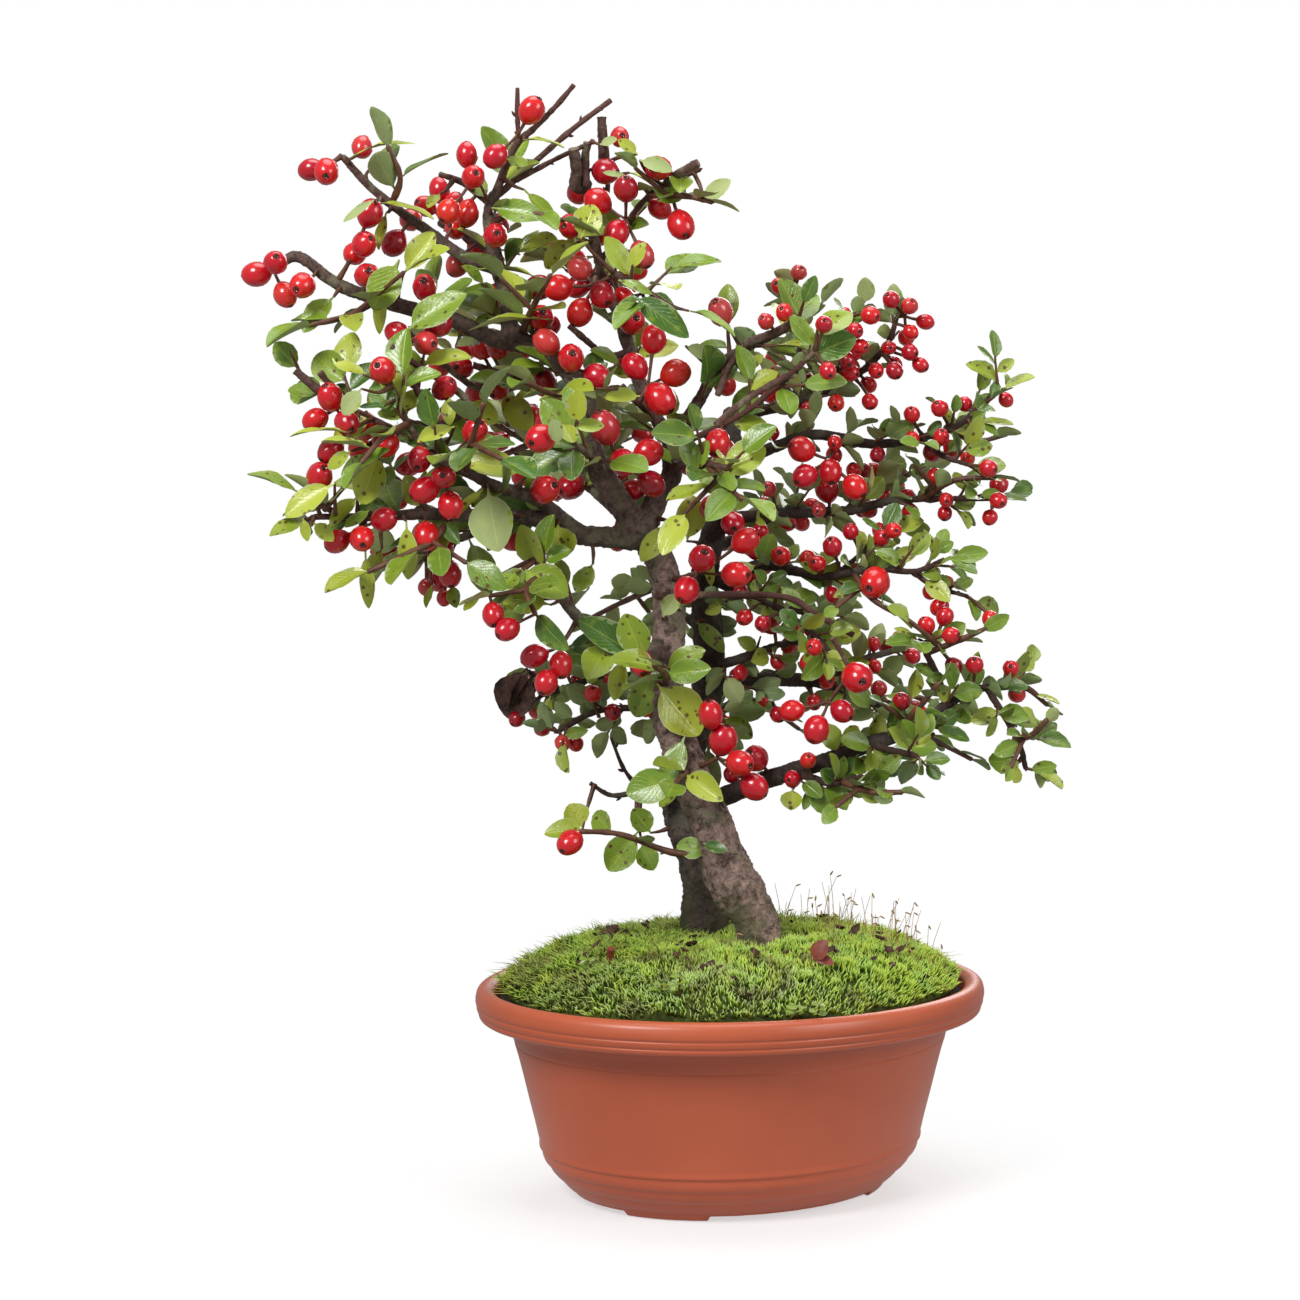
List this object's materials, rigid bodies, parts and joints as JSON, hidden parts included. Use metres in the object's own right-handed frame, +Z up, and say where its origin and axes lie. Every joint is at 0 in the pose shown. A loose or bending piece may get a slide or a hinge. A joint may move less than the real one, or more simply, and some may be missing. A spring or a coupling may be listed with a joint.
{
  "type": "cotoneaster bonsai",
  "caption": "Two small cotoneaster trees with leaves and red berries, in an oval plastic bowl with soil and moss; stands on its foot",
  "frame": {"origin": "bottom centre of the whole object's box, on the surface that the bowl stands on", "axes": "+Z up, +X to the right and -Y towards the viewer of the picture"},
  "size_m": [0.2704, 0.1632, 0.3623],
  "materials": {
    "pot": "moulded terracotta-coloured plastic, satin",
    "soil": "dark moist potting soil",
    "moss": "dense green moss",
    "front_bark": "reddish grey bark",
    "back_bark": "dark grey-brown bark",
    "large_leaf": "glossy yellow-green leaf with brown spots",
    "small_leaf": "glossy green leaf",
    "berry": "smooth glossy red fruit"
  },
  "bodies": {
    "root": {"back_berries_01": "berry", "back_berries_02": "berry", "back_berries_03": "berry", "back_berries_04": "berry", "back_shoot_01": "small_leaf", "back_shoot_02": "small_leaf", "back_shoot_03": "small_leaf", "back_shoot_04": "small_leaf", "back_shoot_05": "small_leaf", "back_shoot_06": "small_leaf", "back_shoot_07": "small_leaf", "back_shoot_08": "small_leaf", "back_shoot_09": "small_leaf", "back_shoot_10": "small_leaf", "back_shoot_11": "small_leaf", "back_shoot_12": "small_leaf", "back_shoot_13": "small_leaf", "back_shoot_14": "small_leaf", "back_shoot_15": "small_leaf", "back_trunk": "back_bark", "front_berries_01": "berry", "front_berries_02": "berry", "front_berries_03": "berry", "front_berries_04": "berry", "front_berries_05": "berry", "front_berries_06": "berry", "front_berries_07": "berry", "front_berries_08": "berry", "front_berries_09": "berry", "front_berries_10": "berry", "front_berries_11": "berry", "front_berries_12": "berry", "front_berries_13": "berry", "front_berries_14": "berry", "front_berries_15": "berry", "front_berries_16": "berry", "front_berries_17": "berry", "front_berries_18": "berry", "front_shoot_01": "large_leaf", "front_shoot_02": "large_leaf", "front_shoot_03": "large_leaf", "front_shoot_04": "large_leaf", "front_shoot_05": "large_leaf", "front_shoot_06": "large_leaf", "front_shoot_07": "large_leaf", "front_shoot_08": "large_leaf", "front_shoot_09": "large_leaf", "front_shoot_10": "large_leaf", "front_shoot_11": "large_leaf", "front_shoot_12": "large_leaf", "front_shoot_13": "large_leaf", "front_shoot_14": "large_leaf", "front_shoot_15": "large_leaf", "front_shoot_16": "large_leaf", "front_shoot_17": "large_leaf", "front_shoot_18": "large_leaf", "front_trunk": "front_bark", "moss": "moss", "pot": "pot", "soil": "soil"}
  },
  "joints": []
}
